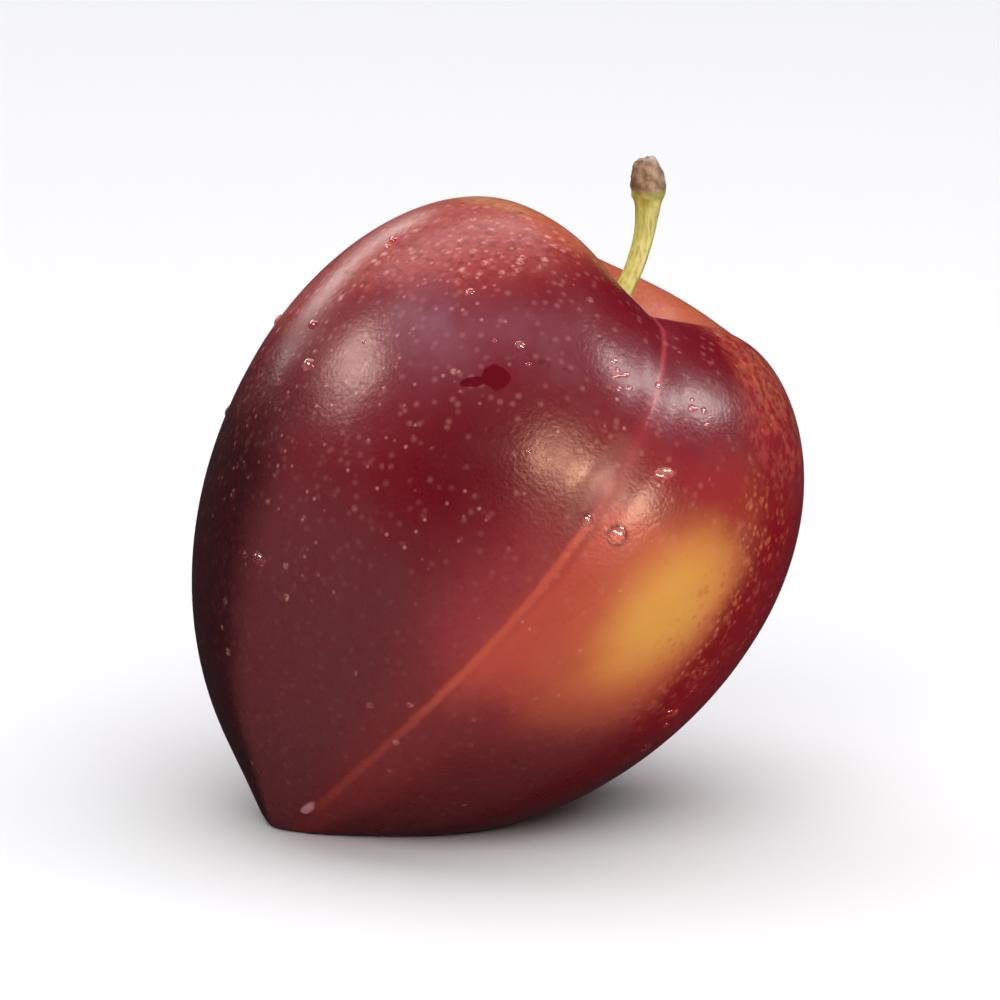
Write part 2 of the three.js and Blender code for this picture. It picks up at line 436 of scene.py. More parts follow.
bpy.ops.object.select_all(action="DESELECT")
bpy.ops.curve.primitive_bezier_curve_add(location=(0, 0, 0))
way = bpy.context.object
way.data.dimensions = "3D"
way.data.twist_mode = "MINIMUM"
way.data.resolution_u = WAY_STEPS
first, last = way.data.splines[0].bezier_points
for end in (first, last):
    end.handle_left_type = end.handle_right_type = "FREE"
first.co = PIT - FOOT_PULL.normalized() * FOOT_SINK * MM
first.handle_right = PIT + FOOT_PULL * MM
first.handle_left = 2 * first.co - first.handle_right
last.handle_left = PIT + KNOB_PULL * MM
last.co = PIT + KNOB_END * MM
last.handle_right = 2 * last.co - last.handle_left
way_length = way.data.splines[0].calc_length()
lay(stalk, Matrix.Scale(way_length / (STALK_LENGTH * MM), 4, (0, 0, 1)))
modify(stalk, "CURVE", object=way, deform_axis="POS_Z")
bpy.data.objects.remove(way)
bpy.ops.object.shade_smooth()
print("way", round(way_length / MM, 1), "mm; end at", [round(c / MM, 1) for c in stalk.data.vertices[-1].co])

# %% [markdown]
# ## Drops of water
#
# A few drops cling to the washed skin. Wax makes water bead, so a small drop is a cap that is about as high
# as half its width, and a larger one sags flat. One drop is shaped from a ball: cut off below, and pressed
# down.

# %% One drop
CUT_HEIGHT = -0.05  # of the ball's radius: what is below is cut off
PRESSED = 0.52  # how much of its height is left

bpy.ops.object.select_all(action="DESELECT")
bpy.ops.mesh.primitive_uv_sphere_add(segments=20, ring_count=12, radius=1, location=(0, 0, 0))
drop = bpy.context.object
bpy.ops.object.mode_set(mode="EDIT")
bpy.ops.mesh.select_all(action="SELECT")
bpy.ops.mesh.bisect(plane_co=(0, 0, CUT_HEIGHT), plane_no=(0, 0, 1), clear_inner=True, use_fill=True)
bpy.ops.mesh.select_all(action="SELECT")
bpy.ops.transform.resize(value=(1, 1, PRESSED), center_override=(0, 0, CUT_HEIGHT))
bpy.ops.object.mode_set(mode="OBJECT")
bpy.ops.object.shade_smooth()
print("one drop of", count(drop))

# %% [markdown]
# The larger drops have places of their own. The spray beside the seam and the strays on the sides and the
# back are drawn at random, from a seeded generator, so that they fall the same way each time.

# %% Where the drops sit
DROPS = [  # degrees from the seam, mm along the axis, radius in mm, length over width
    (9, 0.1, 0.85, 1.05),
    (2, -0.1, 0.5, 1),
    (-45, 11.1, 0.4, 1),
    (-28, 9, 0.42, 1.1),
    (12, 5.7, 0.8, 1.3),
    (-24, 7.9, 0.24, 1.2),
    (-33, 8.2, 0.22, 1),
    (4, 12.8, 0.36, 1),
    (-15, 2, 0.2, 1),
]
SHADE_RINGED_DROPS = 2  # the first of them get a ring of painted shade round their foot
CLUSTERS = ((-7, 11.4), (16, 12.2))  # degrees and mm: one on each lobe beside the seam
CLUSTER_DROPS, STRAY_DROPS = 9, 26

seeded = random.Random(4)
for middle, height in CLUSTERS:
    for _ in range(CLUSTER_DROPS):
        spot = (seeded.gauss(middle, 2.5), seeded.gauss(height, 0.8))
        DROPS.append((*spot, seeded.uniform(0.14, 0.4), seeded.uniform(1, 1.3)))
for _ in range(STRAY_DROPS):
    spot = (seeded.uniform(50, 310), seeded.uniform(-18, 14))
    DROPS.append((*spot, seeded.uniform(0.2, 0.7), seeded.uniform(1, 1.3)))
print("places for", len(DROPS), "drops")

# %% [markdown]
# A ray from outside towards the core finds where the skin is, and which way it faces there. Each copy of
# the drop is sized, turned to that direction, and sunk in by a hair, so that no gap shows round its foot.
# Its shadow is switched off: real water is so clear that it lets the light through to the skin, but a
# renderer's plain shadow would draw a dark ring round every drop.

# %% The drops on the skin
DROP_SINK = 0.12  # of its radius
SAG_RADIUS = 0.75  # mm: a drop with a larger radius than this gets no taller
OUTSIDE = 4  # times as far out as the skin, where the ray starts
STEER = 0.2  # of a place's height: the ray aims at the axis this far up, to meet the skin squarely


def skin_at(degrees, height):
    """Where the skin is at an angle from the seam and a height along the axis, and which way it faces."""
    angle = math.radians(degrees)
    outward = turn @ Vector((CHEEK * math.sin(angle), -CHEEK * math.cos(angle), height))
    far = CORE + outward * OUTSIDE * MM
    aim = CORE + AXIS * height * MM * STEER
    hit, place, facing, _ = skin.ray_cast(far, (aim - far).normalized())
    return (place, facing) if hit else (None, None)


drops = []
for number, (degrees, height, radius, stretch) in enumerate(DROPS):
    foot, facing = skin_at(degrees, height)
    bead = bpy.data.objects.new(f"drop_{number:02d}", drop.data.copy())
    bpy.context.scene.collection.objects.link(bead)
    bead.visible_shadow = False
    to_skin = facing.to_track_quat("Z", "Y").to_matrix().to_4x4()
    tall = radius * MM * min(1, SAG_RADIUS / radius)
    size = Matrix.Diagonal((radius * MM * stretch, radius * MM / stretch, tall, 1))
    lay(bead, Matrix.Translation(foot - facing * DROP_SINK * radius * MM) @ to_skin @ size)
    drops.append(bead)
bpy.data.objects.remove(drop)
bpy.data.objects.remove(form)
print(len(drops), "drops")

# %% [markdown]
# ## Finishes as formulas
#
# A finish is a formula: where is this point of the skin, and what colour follows. Node wires hide that, so
# we wrap a socket in a small class whose operators add the Math nodes, and write the finish as an
# expression.

# %% A socket that can be calculated with


class Field:
    """A number or direction that varies over a surface."""

    def __init__(self, socket, finish):
        self.socket, self.finish = socket, finish

    def join(self, operation, *values):
        kind = "ShaderNodeVectorMath" if self.socket.type == "VECTOR" else "ShaderNodeMath"
        return self.finish.node(kind, {"operation": operation}, values)

    def __add__(self, other):
        return self.join("ADD", self, other)

    def __sub__(self, other):
        return self.join("SUBTRACT", self, other)

    def __rsub__(self, other):
        return self.join("SUBTRACT", other, self)

    def __mul__(self, other):
        return self.join("MULTIPLY", self, other)

    def __truediv__(self, other):
        return self.join("DIVIDE", self, other)

    def __neg__(self):
        return self * -1

    __radd__, __rmul__ = __add__, __mul__


print("a field can be added, subtracted, multiplied and divided")

# %% [markdown]
# Every other node comes from one method that takes its type, its settings and what goes into it. Four more
# methods give what nearly every formula needs: a smooth fade from 0 to 1, a hump round a line, a cloud of
# noise and a mix of two colours.

# %% A finish that builds its own nodes


class Finish:
    """A material whose nodes are written as formulas."""

    def __init__(self, name):
        self.material = bpy.data.materials.new(name)
        self.material.use_nodes = True
        self.tree = self.material.node_tree
        self.shader = self.tree.nodes["Principled BSDF"]

    def node(self, kind, settings=None, inputs=(), output=0):
        """Adds a node: its settings first, then its inputs, by order or by name."""
        made = self.tree.nodes.new(kind)
        for name, value in (settings or {}).items():
            setattr(made, name, value)
        pairs = inputs.items() if isinstance(inputs, dict) else enumerate(inputs)
        for key, value in pairs:
            self.feed(made.inputs[key], value)
        return Field(made.outputs[output], self)

    def feed(self, socket, value):
        """Gives a socket a link, or a plain value where it doesn't vary."""
        if isinstance(value, Field):
            self.tree.links.new(value.socket, socket)
        elif isinstance(value, (int, float)) and socket.type == "VECTOR":
            socket.default_value = (value, value, value)
        else:
            socket.default_value = value

    def set(self, **constants):
        """Constants of the shader itself, such as ior=1.33."""
        for name, value in constants.items():
            self.feed(self.shader.inputs[name.replace("_", " ").title().replace("Ior", "IOR")], value)

    def maths(self, operation, *values):
        return self.node("ShaderNodeMath", {"operation": operation}, values)

    def fade(self, value, start, end):
        """0 before start and 1 after end, smooth between; the other way round if start is the larger."""
        return self.node(
            "ShaderNodeMapRange",
            {"interpolation_type": "SMOOTHSTEP"},
            {"Value": value, "From Min": start, "From Max": end},
        )

    def hump(self, distance, width):
        """1 at distance 0, fading out past the width."""
        share = distance / width
        return self.maths("EXPONENT", -(share * share))

    def cloud(self, where, size, detail=2, roughness=0.5):
        """Noise between 0 and 1 with features of this size, in mm."""
        return self.node(
            "ShaderNodeTexNoise",
            None,
            {"Vector": where, "Scale": 1 / size, "Detail": detail, "Roughness": roughness},
        )

    def mix(self, first, second, share):
        """From the first colour to the second. The colour sockets of this node are its inputs 6 and 7."""
        return self.node(
            "ShaderNodeMix",
            {"data_type": "RGBA", "clamp_factor": True},
            {0: share, 6: first, 7: second},
            2,
        )


def paint(red, green, blue):
    """A screen colour, 0 to 255, as the linear colour that a shader wants."""
    light = (((c / 255 + 0.055) / 1.055) ** 2.4 if c > 10 else c / 255 / 12.92 for c in (red, green, blue))
    return (*light, 1)


print("half of full grey on a screen is", round(paint(128, 128, 128)[0], 2), "of its light")

# %% [markdown]
# ## The skin's finish: where we are on it
#
# A Mapping node turns the place of a point into the fruit's own frame, in millimetres. From there an angle
# from the seam and a height along the axis say where we are, as longitude and latitude do. The tip stands
# off the axis, so the rings below the widest level are centred on the way to it. The seam swings a little
# from the hollow to the tip, so its distance is measured from that swinging line.

# %% Places on the skin
TIP_LEFT, TIP_BACK = 0.9, 2.9  # mm that the tip is off the axis

skin_finish = Finish("plum_skin")
f = skin_finish
place = f.node("ShaderNodeTexCoord", output="Object")
own = f.node(
    "ShaderNodeMapping",
    {"vector_type": "TEXTURE"},
    {"Vector": place, "Location": tuple(CORE), "Rotation": tuple(turn.to_euler()), "Scale": (MM, MM, MM)},
)


def part(vector, axis):
    return f.node("ShaderNodeSeparateXYZ", None, [vector], axis)


x, y, z = (part(own, axis) for axis in "XYZ")
below, above = f.maths("MINIMUM", z, 0), f.maths("MAXIMUM", z, 0)
down = below / TIP_LENGTH
across = x + down * down * TIP_LEFT
back = y - down * down * TIP_BACK
around = f.maths("ARCTAN2", across, -back)
reach = f.maths("SQRT", across * across + back * back)
seam_at = seam_angle(-down - above / SHOULDER_HEIGHT)
from_seam = f.maths("SINE", around - seam_at) * reach  # mm, over 0 on the right
front = f.fade(f.maths("COSINE", around - seam_at), 0.2, 0.6)
degrees = around * (180 / math.pi)
left_half = f.fade(degrees, -165, -120)  # 0 at the back, where the angle jumps from -180 to 180
print("placed", len(f.tree.nodes), "nodes")

# %% [markdown]
# ## The skin's finish: uneven edges, and soft shapes
#
# No mark of a fruit has a clean edge. Two clouds of noise shift every edge to and fro: a wide one for the
# slow drift of ripening, and a fine one. On top of them we need two soft ovals, one that fades from its
# middle and one that is even inside, and round specks. The specks are cells of a Voronoi pattern, a few of
# them left out by lot, so that they are as scattered as real ones.

# %% Clouds, ovals and specks
wide = f.cloud(own, 9, 3)
fine = f.cloud(own, 2.2, 3, 0.6)
uneven = (wide - 0.5) * 14 + (fine - 0.5) * 5  # shifts the marks' edges, in mm or degrees
mottles = f.cloud(own, 0.8, 3, 0.65)


def oval(angle, height, half_angle, half_height, rough):
    """The square of how far out in an oval we are: 0 in its middle and 1 at its edge."""
    sideways = (degrees + uneven * 0.6 * rough - angle) / half_angle
    upwards = (z + uneven * 0.35 * rough - height) / half_height
    return sideways * sideways + upwards * upwards


def patch(angle, height, half_angle, half_height, rough=1.0):
    """A soft oval on the skin: 1 in its middle and 0 far from it."""
    return f.maths("EXPONENT", -oval(angle, height, half_angle, half_height, rough))


def pool(angle, height, half_angle, half_height, soft=0.7, rough=0.5):
    """An oval that is even inside and only fades near its edge."""
    return f.fade(f.maths("SQRT", oval(angle, height, half_angle, half_height, rough)), 1 + soft, 1 - soft)


def dots(spacing, radius, share, soft=0.75):
    """Round specks: how far apart, their radius, which share of the places has one, and how soft they are."""
    cells = {"Vector": own, "Scale": 1 / spacing, "Randomness": 1.0}
    to_middle = f.node("ShaderNodeTexVoronoi", {"feature": "F1"}, cells)
    lot = part(f.node("ShaderNodeTexVoronoi", {"feature": "F1"}, cells, "Color"), 0)
    return f.fade(to_middle * spacing, radius, radius * (1 - soft)) * f.fade(lot - share, 0.04, -0.04)


print("clouds:", len(f.tree.nodes), "nodes so far")

# %% [markdown]
# ## The skin's finish: the paints
#
# This plum ripens from yellow through orange to deep crimson, and last to nearly black. The paints are
# mixed once, from screen colours, and named for the use that each has.

# %% The paints
CRIMSON = paint(106, 5, 20)  # the body of the skin
MAROON = paint(98, 40, 44)  # the skin towards the tip
RUSSET = paint(118, 40, 40)  # low on the front, and underneath at the back
FLUSH = paint(146, 50, 54)  # a blush below the middle of the seam
DEEP = paint(92, 0, 17)  # the darkest cheek, wet skin, and the painted shade round two drops
SHADE_BROWN = paint(42, 5, 9)  # painted shade: the far left side, and low on the right towards the bottom
SALMON = paint(152, 54, 48)  # the left shoulder
BURGUNDY = paint(112, 0, 12)  # the right side, and the lobes beside the seam
RED_ORANGE = paint(178, 69, 54)  # the border of the shaded cheek, the back
ORANGE = paint(198, 100, 56)  # the shaded cheek, and high on the back
YELLOW = paint(224, 156, 68)  # the middle of the shaded cheek
SCARLET = paint(152, 26, 38)  # above the shaded cheek, and mottles
CARMINE = paint(136, 2, 18)  # the ripe skin right of the shaded cheek
OLIVE = paint(172, 106, 66)  # unripe mottles on the rim
PALE = paint(204, 128, 112)  # below the crest
CREAM = paint(216, 160, 106)  # the crest of the hollow's rim
CLAY = paint(178, 92, 62)  # the walls of the hollow
print("a ripe and an unripe paint:", [round(c, 2) for c in CRIMSON], [round(c, 2) for c in YELLOW])

# %% [markdown]
# ## The skin's finish: the sun side
#
# Each zone is a soft shape in angle and height, and the zones are laid over each other from the widest to
# the smallest. First comes the left, which had most sun: crimson above and maroon below, a blush under the
# middle of the seam, a dark cheek, painted shade that makes the far left side nearly black, and a lighter,
# mottled shoulder.

# %% The sun side
colour = f.mix(MAROON, CRIMSON, f.fade(z + uneven * 0.4, -13, -1))
low = f.fade(z + uneven * 0.4, -3, -10)
colour = f.mix(colour, RUSSET, f.fade(degrees + uneven * 0.6, -26, -4) * low * 0.9)
flush = f.hump(degrees + 4, 12) * f.fade(z + uneven * 0.3, 2, -4) * f.fade(z + uneven * 0.3, -20, -12)
colour = f.mix(colour, FLUSH, flush * 0.85)
colour = f.mix(colour, DEEP, patch(-24, -1, 16, 7) * 0.95)
# Painted shade: the far left side of the fruit is darkened nearly to black, and it gets fewer specks
flank_shade = f.fade(degrees + uneven * 0.5, -56, -73) * f.fade(z + uneven * 0.5, 4, -10)
colour = f.mix(colour, SHADE_BROWN, flank_shade * 0.9)
shoulder = f.fade(z + uneven * 0.4 - (degrees + 50) * 0.2, 8, 15)
shoulder = shoulder * f.fade(degrees + uneven * 0.7 - z, -36, -64) * left_half
colour = f.mix(colour, SALMON, shoulder * 0.9)
colour = f.mix(colour, CRIMSON, f.fade(mottles, 0.48, 0.62) * (shoulder * 0.4 + 0.15))
print("sun side:", len(f.tree.nodes), "nodes so far")

# %% [markdown]
# ## The skin's finish: the shaded cheek
#
# One cheek, to the right of the seam, was shaded by a leaf and stays yellow, with an orange edge and a
# red-orange border. The seam stops it on the left. On the right it breaks up into small fuzzy islands
# before the ripe carmine begins.

# %% The shaded cheek
right_side = f.fade(degrees + uneven * 0.5, 38, 52)
colour = f.mix(colour, BURGUNDY, right_side * f.fade(z + uneven * 0.3, 16, 10) * 0.9)
border = f.fade(from_seam + uneven * 0.1, -0.4, 1.4) * front
border = border * f.fade(degrees + uneven * 0.5 + z * 0.4, 48, 36)
border = border * f.fade(z + uneven * 0.2 - degrees * 0.08, 3, 0)
border = border * f.fade(z + uneven * 0.4 - degrees * 0.15, -22, -11)
colour = f.mix(colour, RED_ORANGE, border * 0.95)
colour = f.mix(colour, ORANGE, pool(z * 0.35 + 30, -2.5, 15, 10))
colour = f.mix(colour, YELLOW, pool(z * 0.35 + 30, -2.5, 9.5, 6.3) * 0.95)
colour = f.mix(colour, SCARLET, patch(24, 7.8, 20, 2.6) * 0.8)
colour = f.mix(colour, BURGUNDY, patch(7, 7.6, 13, 2.5) * 0.5)
# Painted shade: the lower right of the fruit grows darker towards the bottom
underside_shade = f.fade(z + uneven * 0.3 - degrees * 0.14, -19, -27) * f.fade(degrees, 4, 20)
colour = f.mix(colour, SHADE_BROWN, underside_shade * 0.35)
ripe_side = f.fade(degrees + uneven * 0.6, 37, 50) * f.fade(z + uneven * 0.3, 14, 9)
colour = f.mix(colour, CARMINE, ripe_side * f.fade(z + uneven * 0.3, -15, -6))
islands = f.maths("MAXIMUM", dots(0.75, 0.38, 0.8), dots(1.3, 0.6, 0.65))
islands = islands * f.fade(f.cloud(own, 0.5, 2), 0.3, 0.6)
islands = islands * f.fade(degrees + uneven * 0.5, 30, 38) * f.fade(degrees + uneven * 0.8, 62, 40)
islands = islands * f.fade(z, -14, -6) * f.fade(z + uneven * 0.2, 16, 8)
colour = f.mix(colour, ORANGE, islands)
print("shaded cheek:", len(f.tree.nodes), "nodes so far")

# %% [markdown]
# ## The skin's finish: the rim and the back
#
# The rim of the hollow on the right is scarlet, with mottles that are still unripe. The back is the same
# fruit seen from its shady side: russet below and orange above, with large and small scarlet mottles. It is
# a colour of its own, mixed in past the flanks, where the angle is about to jump.

# %% The rim and the back
right_rim = f.fade(degrees + uneven * 0.5, 24, 38) * f.fade(degrees + uneven, 105, 60)
right_rim = right_rim * f.fade(z + uneven * 0.3, 8, 15)
rim_mottles = f.fade(f.cloud(own, 1.3, 4, 0.7), 0.45, 0.62)
colour = f.mix(colour, SCARLET, right_rim * 0.7)
colour = f.mix(colour, RED_ORANGE, right_rim * rim_mottles * 0.75)
colour = f.mix(colour, OLIVE, right_rim * f.fade(z, 14, 17) * f.fade(mottles, 0.42, 0.6) * 0.5)
rear = f.mix(RUSSET, RED_ORANGE, f.fade(z + uneven, -20, -4))
rear = f.mix(rear, ORANGE, f.fade(z + uneven, -6, 10) * 0.85)
rear = f.mix(rear, SCARLET, f.fade(f.cloud(own, 9, 4, 0.65), 0.42, 0.62) * 0.4)
rear = f.mix(rear, SCARLET, f.fade(mottles, 0.45, 0.62) * 0.35)
off_front = f.maths("ABSOLUTE", degrees)
behind = f.fade(off_front + uneven, 100, 158)
colour = f.mix(colour, rear, behind)
print("rim and back:", len(f.tree.nodes), "nodes so far")

# %% [markdown]
# ## The skin's finish: the crest and the hollow
#
# The crest on the left is cream, where the shoulder turns over into the hollow, and the hollow's walls are
# clay, with red-orange mottles. How far a point is from the axis says whether it is inside. The edge of the
# wall isn't the same all round, so it is a formula of the angle.

# %% The crest and the hollow
left_lip = f.fade(degrees, -24, -12) * f.fade(degrees, 8, 0) * f.fade(reach, 15.5, 13.5) * f.fade(z, 8, 14)
colour = f.mix(colour, BURGUNDY, left_lip * 0.35)
up_crest = z - (degrees + 90) * 0.05 + uneven * 0.08
crest = f.fade(degrees + uneven * 0.5, -40, -58) * f.fade(degrees + uneven, -140, -100)
colour = f.mix(colour, PALE, crest * f.fade(up_crest, 14.5, 17.4) * 0.15)
cream_share = f.fade(up_crest, 17.4, 19.8) * f.fade(reach + uneven * 0.4, 9, 15)
cream_share = cream_share * (0.55 - f.fade(mottles, 0.42, 0.62) * 0.25)
colour = f.mix(colour, CREAM, crest * cream_share)
narrowed = f.fade(degrees + uneven * 0.5, -44, -12) * f.fade(degrees, 110, 80) * 5  # mm, in front
wall_edge = 13.7 - narrowed - f.fade(off_front, 80, 110) * 2.5  # mm from the axis
inside = f.fade(reach + uneven * 0.3 + (mottles - 0.5) * 4 - wall_edge, 2.2, -2) * f.fade(z, 8, 14)
colour = f.mix(colour, CLAY, inside * 0.95)
colour = f.mix(colour, RED_ORANGE, inside * f.fade(mottles, 0.45, 0.62) * 0.5)
print("crest and hollow:", len(f.tree.nodes), "nodes so far")

# %% [markdown]
# ## The skin's finish: the seam
#
# The seam is a thin lighter line with a soft glow to each side of it: pink beside the dark skin above, and
# orange beside the shaded cheek. It is strong near the hollow and on the cheek, and faint between them and
# at the tip.

# %% The seam
SEAM_PINK, SEAM_ORANGE = paint(172, 50, 62), paint(188, 78, 56)

off_seam = f.maths("ABSOLUTE", from_seam + (fine - 0.5) * 0.5)
seam_line = f.fade(off_seam + f.fade(z, 3, 9) * 0.16, 0.6, 0.08) * front * f.fade(z, -32, -29)
seam_colour = f.mix(SEAM_PINK, SEAM_ORANGE, f.fade(z, 2, -2))
seam_strength = f.fade(z, 9, 13) * 0.7 + f.fade(z, 4, -2) * 0.75 + 0.15
high_glow = f.hump(off_seam, 1) * front * f.fade(z, -2, 1) * f.fade(z, 14, 9)
low_glow = f.hump(off_seam, 1.5) * front * f.fade(z, 1, -5) * f.fade(z, -22, -12)
colour = f.mix(colour, SEAM_PINK, high_glow * 0.2)
colour = f.mix(colour, seam_colour, low_glow * 0.25)
colour = f.mix(colour, seam_colour, seam_line * seam_strength * (f.fade(z, -24, -14) * 0.7 + 0.3))
print("seam:", len(f.tree.nodes), "nodes so far")

# %% [markdown]
# ## The skin's finish: specks, bloom and a painted sheen
#
# All over the skin lie lenticels, the pores that a plum breathes through: pale specks a third of a
# millimetre wide, in several sizes, more of them on the shoulders and the back, and dark ones high on the
# sun side. A thin wax bloom greys the skin in soft clouds. In four banks the same grey-violet is laid on
# thickly as a painted sheen: partly bloom, and partly the haze of reflected light, painted into the colour.

# %% Specks, bloom and a painted sheen
# The second paint is the grey-violet of wax bloom, and also of a painted sheen
SPECK, BLOOM_AND_SHEEN = paint(212, 142, 130), paint(140, 100, 116)

crowd = f.fade(f.cloud(own, 6, 2), 0.4, 0.7) * 0.3 + f.fade(degrees, -20, -55) * left_half * 0.35
crowd = crowd + shoulder * 0.4 + behind * 0.4
faint_specks = dots(0.9, 0.42, crowd + 0.3, 1) * (f.fade(z, -14, 2) * 0.15 + 0.05)
small_specks = dots(0.8, 0.24, crowd * 0.75) * f.fade(z, -22, -8) * 0.42
large_specks = dots(1.25, 0.44, crowd * 0.1 + shoulder * 0.7) * f.fade(f.cloud(own, 0.3, 2), 0.3, 0.6) * 0.7
dark_specks = dots(1.6, 0.36, f.fade(z, -6, 4) * 0.4) * f.fade(degrees, 10, -5) * left_half
specks = f.maths("MAXIMUM", small_specks, f.maths("MAXIMUM", faint_specks, large_specks))
colour = f.mix(colour, SPECK, specks * (1 - flank_shade * 0.3))
colour = f.mix(colour, DEEP, dark_specks * 0.6)
bloom = f.fade(f.cloud(own, 5.5, 4, 0.6), 0.3, 0.75)
# Four banks of painted sheen and reflection, laid on as thick bloom; only part of them is real bloom
bloom_and_sheen_bank = patch(-46, 7.5, 13, 4) * 0.4 + patch(-26, 11, 12, 3) * 0.22
bloom_and_sheen_bank = bloom_and_sheen_bank + patch(6, 12.5, 22, 3) * 0.22 + patch(-56, 1, 12, 6) * 0.24
colour = f.mix(colour, BLOOM_AND_SHEEN, bloom * 0.015 + bloom_and_sheen_bank * (bloom * 0.5 + 0.6))
print("specks and bloom:", len(f.tree.nodes), "nodes so far")

# %% [markdown]
# ## The skin's finish: the scar and the painted shade round two drops
#
# The scar at the tip was modelled, and here it gets its dry colour, at the same place and from the same
# value. Round the first two drops, beside the seam, a dark ring is painted on the skin: painted shade for
# the shadow and the dark rim that a drop of water shows.

# %% The scar and the painted shade round two drops
SCAR = paint(200, 140, 142)
SCAR_HALF_WIDTH, SCAR_HALF_LENGTH = 0.42, 0.9  # mm

scar_across = (x - SCAR_PLACE.x) / SCAR_HALF_WIDTH
scar_along = (y - SCAR_PLACE.y) / SCAR_HALF_LENGTH
scar = f.fade(scar_across * scar_across + scar_along * scar_along + (fine - 0.5) * 1.2, 1.4, 0.4)
colour = f.mix(colour, SCAR, scar * f.fade(z, -27, -29) * 0.75)
# A ring of painted shade round each of these drops, near its edge, where its shadow and dark rim would be
for beside, up, radius, _ in DROPS[:SHADE_RINGED_DROPS]:
    foot, _ = skin_at(beside, up)
    from_bead = f.node("ShaderNodeVectorMath", {"operation": "DISTANCE"}, (place, tuple(foot)), 1) / MM
    colour = f.mix(colour, DEEP, f.hump(from_bead - radius * 0.85, radius * 0.3) * 0.8)
print("scar and puddles:", len(f.tree.nodes), "nodes so far")

# %% [markdown]
# ## The skin's finish: a wet film
#
# Where water has spread on the front it is a film too thin to model. It is a dark, smooth and very glossy
# patch: a round film with a slanting tail below it, and damp freckles above. The film's shape is measured
# in millimetres from its middle, for which an angle is turned into a length along the skin.

# %% The wet film
MM_PER_DEGREE = 0.4  # along the skin, near the widest level
FILM_ANGLE, FILM_HEIGHT = -28.4, 6.2  # degrees from the seam, and mm along the axis
TAIL_ANGLE, TAIL_HEIGHT = -31.5, 5.1
TAIL_SIDEWAYS, TAIL_UP = 0.8, 0.6  # which way the tail runs

film_side, film_up = (degrees - FILM_ANGLE) * MM_PER_DEGREE, z - FILM_HEIGHT
film = f.maths("SQRT", film_side * film_side * 0.64 + film_up * film_up) + (fine - 0.5) * 0.9
tail_side, tail_up = (degrees - TAIL_ANGLE) * MM_PER_DEGREE, z - TAIL_HEIGHT
tail_along = tail_side * TAIL_SIDEWAYS + tail_up * TAIL_UP
tail_across = tail_up * TAIL_SIDEWAYS - tail_side * TAIL_UP
tail = f.maths("SQRT", tail_along * tail_along * 0.8 + tail_across * tail_across * 6) + (fine - 0.5) * 0.6
wet = f.maths("MAXIMUM", f.fade(film, 1.12, 0.95), f.fade(tail, 1.15, 0.95))
damp = f.fade(f.cloud(own, 0.9, 2), 0.56, 0.63) * patch(-19, 8.6, 9, 2.4, 0.2)
colour = f.mix(colour, DEEP, f.maths("MAXIMUM", wet, damp * 0.5) * 0.95)
print("wet film:", len(f.tree.nodes), "nodes so far")

# %% [markdown]
# ## The skin's finish: gloss and fine relief
#
# Roughness says how far a highlight spreads, and the coat adds a second, sharper one. Bloom dulls both, and
# the grain of the skin just left of the seam dulls the first. Relief too fine to model comes from a Bump
# node: the grain of the skin, specks that stand out or sink in a little, and the thin line in the seam.
# Water levels it all.

# %% Gloss and fine relief
grain_relief = f.cloud(own, 0.34, 1)
relief = grain_relief * 0.022 + fine * 0.03 + specks * 0.03 - dark_specks * 0.02  # mm
relief = relief * (1 - wet) - seam_line * 0.02
bump = f.node("ShaderNodeBump", None, {"Height": relief * MM, "Strength": 1.0, "Distance": 1.0})
seam_grain = f.hump(from_seam + 0.8, 1.4) * front * f.fade(z, -3, 0) * f.fade(z, 9, 6)
f.feed(f.shader.inputs["Base Color"], colour)
f.feed(f.shader.inputs["Roughness"], (bloom * 0.08 + seam_grain * 0.2 + 0.22) * (1 - wet) + 0.04)
f.feed(f.shader.inputs["Coat Weight"], wet * 0.8 + (1 - bloom) * 0.12)
f.feed(f.shader.inputs["Normal"], bump)
f.set(specular_ior_level=0.26, coat_roughness=0.14, ior=1.45)
print("skin finish:", len(f.tree.nodes), "nodes")

# %% [markdown]
# ## The stalk's finish
#
# The stalk is yellow-green in long streaks, a few of them brown where it has begun to dry, and its knob is
# tan cork with a pale grey end. How far we are along it decides, so the height above the table is enough:
# the stalk stands nearly upright.

# %% The stalk's finish
GREEN, LIME, DRY = paint(168, 166, 58), paint(206, 204, 110), paint(130, 104, 44)
TAN, CORK, GREY = paint(158, 128, 98), paint(112, 80, 54), paint(188, 180, 170)
CORK_FROM, CORK_TO = 51.0, 52.0  # mm above the table, where cork takes over from green
END_FROM, END_TO = 53.6, 54.6  # mm above the table, where the cork turns grey
KNOB_MIDDLE = 21.8  # mm to the right of the origin; the grey comes further down to the right of it

stalk_finish = Finish("stalk")
f = stalk_finish
place = f.node("ShaderNodeTexCoord", output="Object")
where = f.node("ShaderNodeVectorMath", {"operation": "SCALE"}, {0: place, "Scale": 1 / MM})
height, right = part(where, "Z"), part(where, "X")
grainy = f.cloud(where, 0.5, 3, 0.6)
long = f.node("ShaderNodeMapping", None, {"Vector": where, "Scale": (1, 1, 0.15)})
streak = f.cloud(long, 0.55, 3, 0.6)
blotches = f.cloud(where, 0.9, 3, 0.6)
colour = f.mix(GREEN, LIME, f.fade(streak, 0.35, 0.65))
colour = f.mix(colour, DRY, f.fade(streak + right * 0.05, 1.6, 1.75) * 0.7)
to_knob = f.fade(height + grainy * 1.2, CORK_FROM, CORK_TO)
colour = f.mix(colour, f.mix(TAN, CORK, f.fade(blotches, 0.35, 0.65)), to_knob)
to_end = f.fade(height + grainy * 1.2 + (right - KNOB_MIDDLE) * 0.3, END_FROM, END_TO)
colour = f.mix(colour, GREY, to_end)
relief = (grainy * 0.06 + streak * 0.05) * MM
